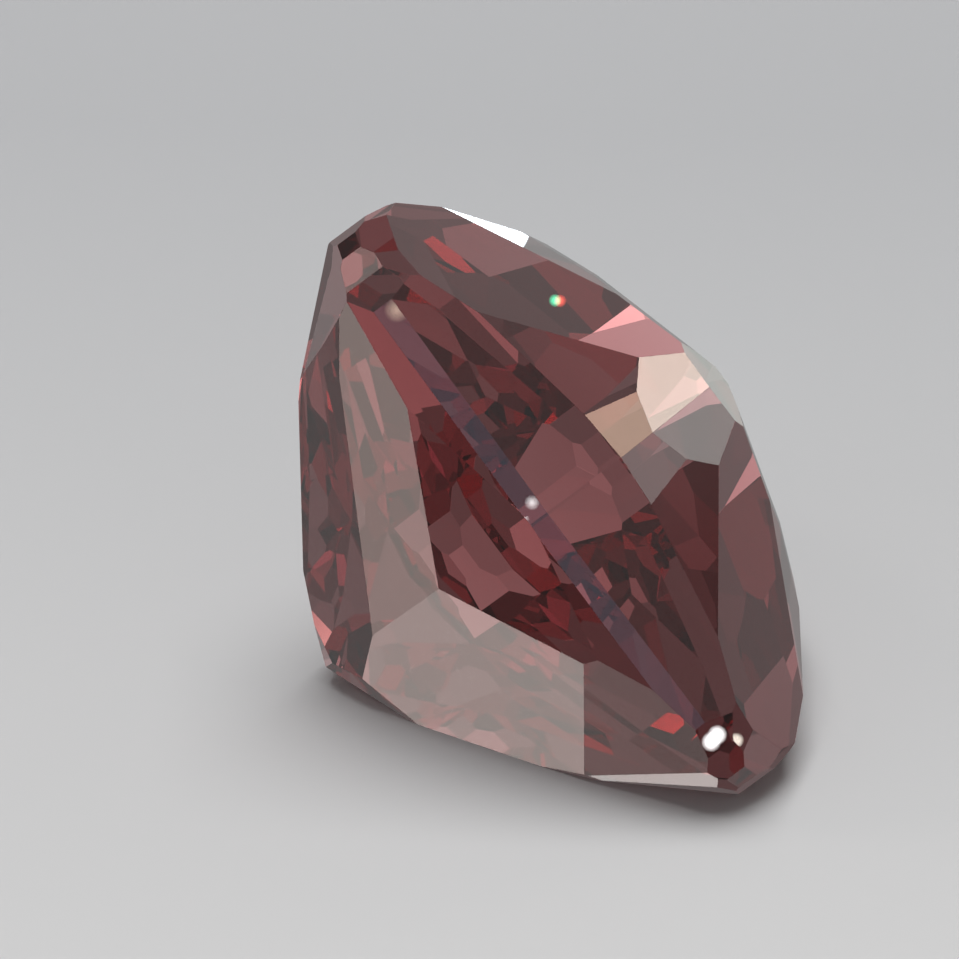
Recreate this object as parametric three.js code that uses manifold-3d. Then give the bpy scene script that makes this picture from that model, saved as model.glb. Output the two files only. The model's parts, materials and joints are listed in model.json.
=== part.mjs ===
// A cut garnet: one faceted crystal of a triangular cushion shape, lying on one of its pavilion facets.
// Millimetres, +Z up. The origin is on the surface it lies on, under the middle of its box.
// The stone is cut as a lapidary cuts it: a rough block is ground flat, one facet at a time,
// and each tier of facets is repeated for the three sides of the triangle.
import * as THREE from "three";
import { mergeVertices } from "three/addons/utils/BufferGeometryUtils.js";
import Module from "manifold-3d";

const wasm = await Module();
wasm.setup();

// Size of the cut stone, measured from its girdle plane and its axis.
const SIDE_REACH = 2.92; // from the axis to the middle of a side of the girdle
const CORNER_REACH = 4.45; // from the axis to a blunted corner of the girdle
const GIRDLE_HALF = 0.14; // half the thickness of the girdle band
const TABLE_HEIGHT = 2.11; // from the girdle plane up to the small table facet
const CULET_DEPTH = 3.67; // from the girdle plane down to the pointed culet

// How the stone lies.
const REST_SIDE = 120; // the side, in degrees round the axis, that it lies on
const REST_GRIND = 0.11; // how much deeper than its sisters the facet that it lies on is ground, along the axis
const NEAR_SIDE_TURN = -29.7; // the near side of the triangle against the X axis, in degrees

const SIDES = [0, 120, 240];
const ROUGH_SIZE = 14; // the block that the stone is cut from
const MEET_GAP = 0.003; // the closest that two corners of the cut stone can be
const UP = 1;
const DOWN = -1;

// A tier holds the facets that are alike. azimuth is measured from the middle of a side, and 60 is a corner.
// angle is the slope from the girdle plane: 90 is upright.
// reach is where the facet meets the edge of the girdle band, as a distance from the axis.
// apex is where the facet would meet the axis, as a height or depth from the girdle plane.
const GIRDLE = [
  { azimuth: 2.5, angle: 90, reach: SIDE_REACH },
  { azimuth: 20, angle: 90, reach: 3.67 },
  { azimuth: 40, angle: 90, reach: 4.24 },
  { azimuth: 60, angle: 90, reach: CORNER_REACH },
];
const CROWN = [
  { azimuth: 2.5, angle: 85, reach: SIDE_REACH },
  { azimuth: 41, angle: 64.5, reach: 4.31 },
  { azimuth: 60, angle: 60.5, reach: 4.44 },
  { azimuth: 60, angle: 24.3, apex: 2.4 },
  { azimuth: 23.6, angle: 25.6, apex: 2.52 },
  { azimuth: 11.4, angle: 24.9, apex: 2.5 },
  { azimuth: 4.7, angle: 19.1, apex: 2.27 },
];
const PAVILION = [
  { azimuth: 0, angle: 57.3, reach: 2.9 },
  { azimuth: 2.4, angle: 65.5, reach: 2.91 },
  { azimuth: 60, angle: 65.5, reach: CORNER_REACH },
  { azimuth: 49.8, angle: 50.3, reach: 4.45 },
  { azimuth: 60, angle: 41.7, apex: 4.5 },
  { azimuth: 22.5, angle: 29.2, apex: CULET_DEPTH },
];
// The large pavilion facets, in a pair on each side.
const PAVILION_MAIN = { azimuth: 4.8, angle: 51.9, apex: 4.1 };
// The near side alone has three more facets: two narrow ones left of its large pair, and one right of it.
const NEAR_SIDE_EXTRA = [
  { azimuth: -12.8, angle: 45.5, apex: 3.81 },
  { azimuth: -11.8, angle: 47.6, apex: 3.98 },
  { azimuth: 9.4, angle: 55.6, apex: 4.76 },
];
// The stone lies on one of the large facets, ground a little deeper, so that it reaches under the middle.
const RESTING_FACET = {
  azimuth: REST_SIDE - PAVILION_MAIN.azimuth,
  angle: PAVILION_MAIN.angle,
  apex: PAVILION_MAIN.apex - REST_GRIND,
};

// The unit vector that points straight out of a facet. The near side of the stone, azimuth 0, faces -Y.
function facetNormal(azimuth, angle, way) {
  const round = THREE.MathUtils.degToRad(azimuth);
  const slope = THREE.MathUtils.degToRad(angle);
  return new THREE.Vector3(
    Math.sin(round) * Math.sin(slope),
    -Math.cos(round) * Math.sin(slope),
    way * Math.cos(slope),
  );
}

// How far a facet's plane is from the middle of the girdle plane.
function facetDistance({ angle, reach, apex }) {
  const slope = THREE.MathUtils.degToRad(angle);
  if (apex !== undefined) return apex * Math.cos(slope);
  return reach * Math.sin(slope) + GIRDLE_HALF * Math.cos(slope);
}

// A closed three.js geometry as a solid that can be cut.
function solidOf(geometry) {
  const bare = geometry.clone();
  bare.deleteAttribute("normal");
  bare.deleteAttribute("uv");
  const merged = mergeVertices(bare, 1e-5);
  return new wasm.Manifold(
    new wasm.Mesh({
      numProp: 3,
      vertProperties: new Float32Array(merged.attributes.position.array),
      triVerts: new Uint32Array(merged.index.array),
    }),
  );
}

// A solid as a three.js geometry with flat facets. Corners closer than MEET_GAP are one corner,
// so where several facets meet in a point no sliver is left between them.
function geometryOf(solid) {
  const mesh = solid.getMesh();
  const loose = new THREE.BufferGeometry();
  loose.setAttribute("position", new THREE.BufferAttribute(mesh.vertProperties, 3));
  loose.setIndex(new THREE.BufferAttribute(mesh.triVerts, 1));
  const welded = mergeVertices(loose, MEET_GAP);
  const corners = welded.index.array;
  const kept = [];
  for (let i = 0; i < corners.length; i += 3) {
    const [a, b, c] = corners.slice(i, i + 3);
    if (a !== b && b !== c && c !== a) kept.push(a, b, c);
  }
  welded.setIndex(kept);
  const flat = welded.toNonIndexed();
  flat.computeVertexNormals();
  return flat;
}

// Grinds one flat facet: everything beyond the facet's plane is taken off.
function grind(solid, normal, distance) {
  const lap = new THREE.BoxGeometry(2 * ROUGH_SIZE, 2 * ROUGH_SIZE, ROUGH_SIZE);
  lap.translate(0, 0, ROUGH_SIZE / 2 + distance);
  lap.applyQuaternion(new THREE.Quaternion().setFromUnitVectors(new THREE.Vector3(0, 0, 1), normal));
  return solid.subtract(solidOf(lap));
}

// Grinds a tier: the facets on both sides of each side's middle, or one facet where the pair coincides.
function grindTier(solid, tier, way) {
  const single = tier.azimuth === 0 || tier.azimuth === 60;
  const offsets = single ? [tier.azimuth] : [-tier.azimuth, tier.azimuth];
  let cut = solid;
  for (const side of SIDES) {
    for (const offset of offsets) {
      cut = grind(cut, facetNormal(side + offset, tier.angle, way), facetDistance(tier));
    }
  }
  return cut;
}

let stone = solidOf(new THREE.BoxGeometry(ROUGH_SIZE, ROUGH_SIZE, ROUGH_SIZE));
for (const tier of GIRDLE) stone = grindTier(stone, tier, UP);
for (const tier of [PAVILION_MAIN, ...PAVILION]) stone = grindTier(stone, tier, DOWN);
for (const facet of NEAR_SIDE_EXTRA) {
  stone = grind(stone, facetNormal(facet.azimuth, facet.angle, DOWN), facetDistance(facet));
}
for (const tier of CROWN) stone = grindTier(stone, tier, UP);
stone = grind(stone, new THREE.Vector3(0, 0, 1), TABLE_HEIGHT);
const restNormal = facetNormal(RESTING_FACET.azimuth, RESTING_FACET.angle, DOWN);
stone = grind(stone, restNormal, facetDistance(RESTING_FACET));

// Turns the stone onto its resting facet, then about the vertical until its near side points the right way.
const tip = new THREE.Quaternion().setFromUnitVectors(restNormal, new THREE.Vector3(0, 0, -1));
const nearSide = new THREE.Vector3(1, 0, 0).applyQuaternion(tip);
const turn = THREE.MathUtils.degToRad(NEAR_SIDE_TURN) - Math.atan2(nearSide.y, nearSide.x);
const yaw = new THREE.Quaternion().setFromAxisAngle(new THREE.Vector3(0, 0, 1), turn);

const garnetMaterial = new THREE.MeshStandardMaterial({ color: 0x7d4346, roughness: 0.05, metalness: 0 });
const cutGarnet = new THREE.Mesh(geometryOf(stone), garnetMaterial);
cutGarnet.name = "cut_garnet";
cutGarnet.quaternion.copy(yaw).multiply(tip);

// Sets the stone down: the lowest facet on the surface, and the middle of its box over the origin.
cutGarnet.updateMatrixWorld(true);
const box = new THREE.Box3().setFromObject(cutGarnet, true);
const middle = box.getCenter(new THREE.Vector3());
cutGarnet.position.set(-middle.x, -middle.y, -box.min.z);

const part = new THREE.Group();
part.add(cutGarnet);

export default part;
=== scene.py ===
"""A cut garnet, lying on one of its pavilion facets on a plain pale ground."""
import json
import math

import bpy
from mathutils import Matrix, Vector
from mathutils.bvhtree import BVHTree

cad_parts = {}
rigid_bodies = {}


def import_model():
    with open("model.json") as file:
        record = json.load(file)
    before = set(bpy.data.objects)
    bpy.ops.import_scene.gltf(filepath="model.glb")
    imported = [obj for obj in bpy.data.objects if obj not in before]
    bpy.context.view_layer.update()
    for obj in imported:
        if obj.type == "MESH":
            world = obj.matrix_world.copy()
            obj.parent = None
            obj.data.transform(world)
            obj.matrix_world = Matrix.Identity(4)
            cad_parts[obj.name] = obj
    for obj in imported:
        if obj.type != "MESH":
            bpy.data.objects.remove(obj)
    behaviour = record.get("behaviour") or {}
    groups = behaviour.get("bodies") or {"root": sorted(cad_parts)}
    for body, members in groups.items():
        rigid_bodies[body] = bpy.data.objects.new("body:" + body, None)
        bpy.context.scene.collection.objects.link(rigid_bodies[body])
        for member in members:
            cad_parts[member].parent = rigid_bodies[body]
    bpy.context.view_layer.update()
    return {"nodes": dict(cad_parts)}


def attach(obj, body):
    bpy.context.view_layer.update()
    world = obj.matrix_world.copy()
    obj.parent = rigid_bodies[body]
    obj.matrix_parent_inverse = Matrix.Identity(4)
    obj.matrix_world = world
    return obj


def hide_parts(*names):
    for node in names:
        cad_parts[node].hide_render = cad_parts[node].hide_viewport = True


MM = 0.001

# The stone
GIRDLE_CENTRE = Vector((0.24, -0.28, 2.46)) * MM
EDGE_WEAR = 0.012 * MM
SAME_CORNER = 0.002 * MM
SAME_PLANE = math.radians(0.3)
GARNET_IOR = 1.76
GARNET_COLOUR = "#df8a8e"
GARNET_DENSITY = 335.0

# The photograph's view
PICTURE = 959
STONE_CENTRE_PX = (572.3, 486.6)
MM_PER_PX = 0.01176
CAMERA_HEIGHT = math.radians(27.5)
CAMERA_ROLL = math.radians(-1.1)
CAMERA_DISTANCE = 260 * MM
SENSOR_WIDTH = 36.0
NEAREST_SEEN = 10 * MM
FARTHEST_SEEN = 10000 * MM

# The ground fades from its front colour to its back colour between these two depths: painted light, paler in
# front.
GROUND_SIZE = 2000 * MM
GROUND_FRONT = -12 * MM
GROUND_BACK = 14 * MM
GROUND_FRONT_COLOUR = "#d6d6d6"
GROUND_BACK_COLOUR = "#b9babc"

# The soft light overhead. It lights the ground, and the stone doesn't mirror it.
OVERHEAD_PLACE = Vector((0, 50, 500)) * MM
OVERHEAD_SIZE = 350 * MM
OVERHEAD_WATTS = 2.15

# The surround: an even room, with soft round cards in it that the facets mirror and the inside glows from.
# A card has its azimuth (0 is straight behind the stone, 90 is right) and its height over the level,
# then its radius and the width of its soft edge, all in degrees, then its brightness and its colour.
ROOM_BRIGHTNESS = 0.16
CARDS = {
    "backdrop": (10, -2, 14, 22, 0.3, "#f6fbfa"),
    "back_left": (320, -12, 12, 8, 0.7, "#fff0f0"),
    "low_left_window": (259.5, -39.5, 7, 1.5, 1.75, "#fff2ea"),
    "low_left_spill": (252, -46, 4, 7, 0.85, "#fff8f4"),
    "left_end": (281, -34, 5, 4, 0.4, "#ffffff"),
    "under_the_front": (338, -67, 6, 5, 1.8, "#fffaf6"),
    "under_the_back_left": (322, -36, 9, 6, 0.5, "#ffffff"),
    "crown_window": (43.2, 15.2, 1.9, 1, 4.7, "#ffeedf"),
    "crown_window_side": (47.5, 10.5, 2, 1.5, 1.4, "#f4faf6"),
    "crown_window_end": (50.6, 24.3, 1.6, 2.6, 3, "#ffdcc0"),
    "crown_window_spill": (57, 15, 3, 3, 0.9, "#fbf8f6"),
    "table_light": (18, -13, 2, 3, 0.6, "#f2fff6"),
    "right_back": (44, -11, 7, 6, 0.15, "#ffffff"),
    "right_up": (50, 24, 9, 8, 0.22, "#ffffff"),
    "top_left": (280, 39, 6, 6, 1.6, "#fff0ea"),
    "front_left": (230, 22, 16, 10, 0.34, "#ffffff"),
    "front": (197, 11, 6, 6, 0.55, "#e0e0ff"),
    "front_up": (182, 22, 12, 8, 0.2, "#ffffff"),
    "front_right": (154, 32, 10, 8, 0.2, "#ffffff"),
    "low_front": (203, -40, 10, 8, 0.26, "#ffffff"),
    "low_right": (62, -50, 18, 8, 0.36, "#ffffff"),
    "right": (105, -8, 9, 6, 0.4, "#ffffff"),
    "back_top": (320, 64, 9, 6, 0.34, "#ffffff"),
}

# Glints are small cards, each placed where a facet mirrors it to the photograph's view.
# A glint has the pixel where it shows, then its radius and soft edge in degrees, its brightness and its colour.
GLINTS = {
    "flash": ((482, 221), 0.125, 0.004, 3.2, "#eaf6ff"),
    "corner_glint": ((712, 746), 0.013, 0.013, 16, "#ffffff"),
    "corner_glint_end": ((718, 739), 0.013, 0.013, 16, "#ffffff"),
    "corner_spark": ((734, 741), 0.01, 0.01, 10, "#fff8e8"),
    "girdle_glint": ((527, 506), 0.002, 0.018, 9, "#ffffff"),
    "girdle_spark": ((397, 309), 0.004, 0.03, 4.5, "#ffe6c8"),
    "green_fire": ((555, 300), 0.005, 0.012, 6, "#58ffc0"),
    "red_fire": ((560, 302), 0.005, 0.012, 6, "#ff5a48"),
}

# How often light is followed from one facet to the next, and the brightest that one such path can be.
INSIDE_TURNS = 32
MIRROR_TURNS = 16
BRIGHTEST_PATH = 20.0


def colour(hex_value):
    """An sRGB hex colour as linear red, green, blue and alpha."""
    parts = [int(hex_value[i:i + 2], 16) / 255 for i in (1, 3, 5)]
    linear = [p / 12.92 if p <= 0.04045 else ((p + 0.055) / 1.055) ** 2.4 for p in parts]
    return (*linear, 1.0)


def add_node(tree, kind, settings=None, inputs=None):
    """Adds a node. A value in inputs is a plain value, or a socket to link from."""
    node = tree.nodes.new(kind)
    for name, value in (settings or {}).items():
        setattr(node, name, value)
    for name, value in (inputs or {}).items():
        if isinstance(value, bpy.types.NodeSocket):
            tree.links.new(value, node.inputs[name])
        else:
            node.inputs[name].default_value = value
    return node


def new_material(name):
    """An empty node material, with its tree and its output node."""
    material = bpy.data.materials.new(name)
    material.use_nodes = True
    tree = material.node_tree
    tree.nodes.clear()
    output = tree.nodes.new("ShaderNodeOutputMaterial")
    return material, tree, output


def make_garnet_material():
    """Cut and polished garnet: clear, brownish red, high in refraction, so that it is dark where the
    light is turned back inside and salmon or greyish pink where it passes straight through."""
    material, tree, output = new_material("polished_garnet")
    surface = add_node(tree, "ShaderNodeBsdfPrincipled", inputs={
        "Base Color": colour("#ffffff"),
        "Roughness": 0.0,
        "IOR": GARNET_IOR,
        "Transmission Weight": 1.0,
    })
    body = add_node(tree, "ShaderNodeVolumeAbsorption", inputs={
        "Color": colour(GARNET_COLOUR),
        "Density": GARNET_DENSITY,
    })
    tree.links.new(surface.outputs["BSDF"], output.inputs["Surface"])
    tree.links.new(body.outputs["Volume"], output.inputs["Volume"])
    return material


def deselect_all():
    for obj in bpy.context.view_layer.objects:
        obj.select_set(False)


def make_stone(cad_node, material):
    """The polished stone: the cut solid with its facets made whole and its edges worn by a hair."""
    deselect_all()
    mesh = cad_node.data.copy()
    stone = bpy.data.objects.new("garnet_stone", mesh)
    bpy.context.scene.collection.objects.link(stone)
    stone.select_set(True)
    bpy.context.view_layer.objects.active = stone
    bpy.ops.object.mode_set(mode="EDIT")
    bpy.ops.mesh.select_all(action="SELECT")
    bpy.ops.mesh.remove_doubles(threshold=SAME_CORNER)
    bpy.ops.mesh.dissolve_limited(angle_limit=SAME_PLANE)
    bpy.ops.object.mode_set(mode="OBJECT")
    bevel = stone.modifiers.new("edge_wear", "BEVEL")
    bevel.width = EDGE_WEAR
    bevel.segments = 1
    bevel.limit_method = "NONE"
    bevel.harden_normals = False
    bpy.ops.object.modifier_apply(modifier=bevel.name)
    bpy.ops.object.shade_flat()
    stone.data.materials.clear()
    stone.data.materials.append(material)
    return stone


def make_ground():
    """The plain pale ground, with painted light that makes it a little paler towards the front."""
    deselect_all()
    bpy.ops.mesh.primitive_plane_add(size=GROUND_SIZE, location=(0, 0, 0))
    ground = bpy.context.active_object
    ground.name = "ground"
    material, tree, output = new_material("matt_pale_paper")
    place = add_node(tree, "ShaderNodeTexCoord")
    split = add_node(tree, "ShaderNodeSeparateXYZ", inputs={"Vector": place.outputs["Object"]})
    depth = add_node(tree, "ShaderNodeMapRange", inputs={
        "Value": split.outputs["Y"],
        "From Min": GROUND_FRONT,
        "From Max": GROUND_BACK,
    })
    # Painted light: the ground's colour grows paler towards the front.
    shade = add_node(tree, "ShaderNodeMix", {"data_type": "RGBA"}, {
        "Factor": depth.outputs["Result"],
        "A": colour(GROUND_FRONT_COLOUR),
        "B": colour(GROUND_BACK_COLOUR),
    })
    paper = add_node(tree, "ShaderNodeBsdfDiffuse", inputs={"Color": shade.outputs["Result"]})
    tree.links.new(paper.outputs["BSDF"], output.inputs["Surface"])
    ground.data.materials.append(material)
    ground.visible_glossy = False
    ground.visible_transmission = False


def camera_axes():
    """The unit vectors to the right, the top and the front of the photograph's view."""
    forward = Vector((0, math.cos(CAMERA_HEIGHT), -math.sin(CAMERA_HEIGHT)))
    level_right = Vector((1, 0, 0))
    level_up = level_right.cross(forward)
    turn = Matrix.Rotation(CAMERA_ROLL, 3, forward)
    return turn @ level_right, turn @ level_up, forward


def view_point(x, y):
    """The point that shows at a pixel, on the plane through the girdle's centre that faces the camera."""
    right, up, forward = camera_axes()
    across = (x - STONE_CENTRE_PX[0]) * MM_PER_PX * MM
    upward = (STONE_CENTRE_PX[1] - y) * MM_PER_PX * MM
    return GIRDLE_CENTRE + right * across + up * upward


def camera_place():
    right, up, forward = camera_axes()
    return view_point(PICTURE / 2, PICTURE / 2) - forward * CAMERA_DISTANCE


def facets_to_hit(stone):
    """The stone's triangles, ready for rays."""
    stone.data.calc_loop_triangles()
    corners = [vertex.co for vertex in stone.data.vertices]
    triangles = [triangle.vertices for triangle in stone.data.loop_triangles]
    return BVHTree.FromPolygons(corners, triangles, all_triangles=True)


def mirrored_from(facets, pixel):
    """The unit vector towards the place that the facet at a pixel mirrors to the camera."""
    ray = (view_point(*pixel) - camera_place()).normalized()
    facet_normal = facets.ray_cast(camera_place(), ray)[1]
    return ray.reflect(facet_normal)


def direction(azimuth, height):
    """The unit vector towards a place in the surround. Azimuth 0 is straight behind the stone, 90 is right."""
    level = math.cos(math.radians(height))
    turn = math.radians(azimuth)
    return (math.sin(turn) * level, math.cos(turn) * level, math.sin(math.radians(height)))


def chord(angle):
    """The straight distance between two unit vectors that are this many degrees apart."""
    return 2 * math.sin(math.radians(angle) / 2)


def add_card(tree, looking, light, towards, radius, edge, brightness, tint):
    """Adds a soft round card to the light that comes from the direction looked in."""
    away = add_node(tree, "ShaderNodeVectorMath", {"operation": "DISTANCE"}, {0: looking, 1: towards})
    strength = add_node(tree, "ShaderNodeMapRange", inputs={
        "Value": away.outputs["Value"],
        "From Min": chord(radius + edge),
        "From Max": chord(radius),
        "To Max": brightness,
    })
    card = add_node(tree, "ShaderNodeVectorMath", {"operation": "SCALE"}, {
        0: colour(tint)[:3],
        "Scale": strength.outputs["Result"],
    })
    both = add_node(tree, "ShaderNodeVectorMath", {"operation": "ADD"}, {0: card.outputs["Vector"], 1: light})
    return both.outputs["Vector"]


def make_surround(stone):
    """Soft light from all round: an even grey room, the cards, and the glints that the stone mirrors."""
    world = bpy.data.worlds.new("studio")
    bpy.context.scene.world = world
    world.use_nodes = True
    tree = world.node_tree
    tree.nodes.clear()
    output = tree.nodes.new("ShaderNodeOutputWorld")
    looking = add_node(tree, "ShaderNodeTexCoord").outputs["Generated"]
    light = [ROOM_BRIGHTNESS] * 3
    for azimuth, height, *card in CARDS.values():
        light = add_card(tree, looking, light, direction(azimuth, height), *card)
    facets = facets_to_hit(stone)
    for pixel, *glint in GLINTS.values():
        light = add_card(tree, looking, light, mirrored_from(facets, pixel), *glint)
    room = add_node(tree, "ShaderNodeBackground", inputs={"Color": light})
    tree.links.new(room.outputs["Background"], output.inputs["Surface"])


def make_soft_light(name, place, size, watts):
    """A square soft light that faces the stone."""
    data = bpy.data.lights.new(name, "AREA")
    data.shape = "SQUARE"
    data.size = size
    data.energy = watts
    light = bpy.data.objects.new(name, data)
    bpy.context.scene.collection.objects.link(light)
    light.location = place
    towards = GIRDLE_CENTRE - place
    light.rotation_euler = towards.to_track_quat("-Z", "Y").to_euler()
    return light


def make_camera():
    """The photograph's view: a long lens, from a little above, with the stone right of the middle."""
    data = bpy.data.cameras.new("camera")
    data.sensor_fit = "HORIZONTAL"
    data.sensor_width = SENSOR_WIDTH
    view_width = PICTURE * MM_PER_PX * MM
    data.lens = SENSOR_WIDTH * CAMERA_DISTANCE / view_width
    data.clip_start = NEAREST_SEEN
    data.clip_end = FARTHEST_SEEN
    camera = bpy.data.objects.new("camera", data)
    bpy.context.scene.collection.objects.link(camera)
    right, up, forward = camera_axes()
    camera.location = camera_place()
    camera.rotation_euler = Matrix((right, up, -forward)).transposed().to_euler()
    bpy.context.scene.camera = camera


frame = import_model()

garnet = make_garnet_material()
stone = make_stone(frame["nodes"]["cut_garnet"], garnet)
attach(stone, "root")
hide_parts("cut_garnet")

make_camera()
make_surround(stone)
make_ground()
overhead = make_soft_light("overhead", OVERHEAD_PLACE, OVERHEAD_SIZE, OVERHEAD_WATTS)
overhead.visible_glossy = False
overhead.visible_transmission = False

scene = bpy.context.scene
scene.view_settings.view_transform = "Standard"
scene.cycles.max_bounces = INSIDE_TURNS
scene.cycles.transmission_bounces = INSIDE_TURNS
scene.cycles.glossy_bounces = MIRROR_TURNS
scene.cycles.sample_clamp_indirect = BRIGHTEST_PATH
scene.cycles.sampling_pattern = "TABULATED_SOBOL"
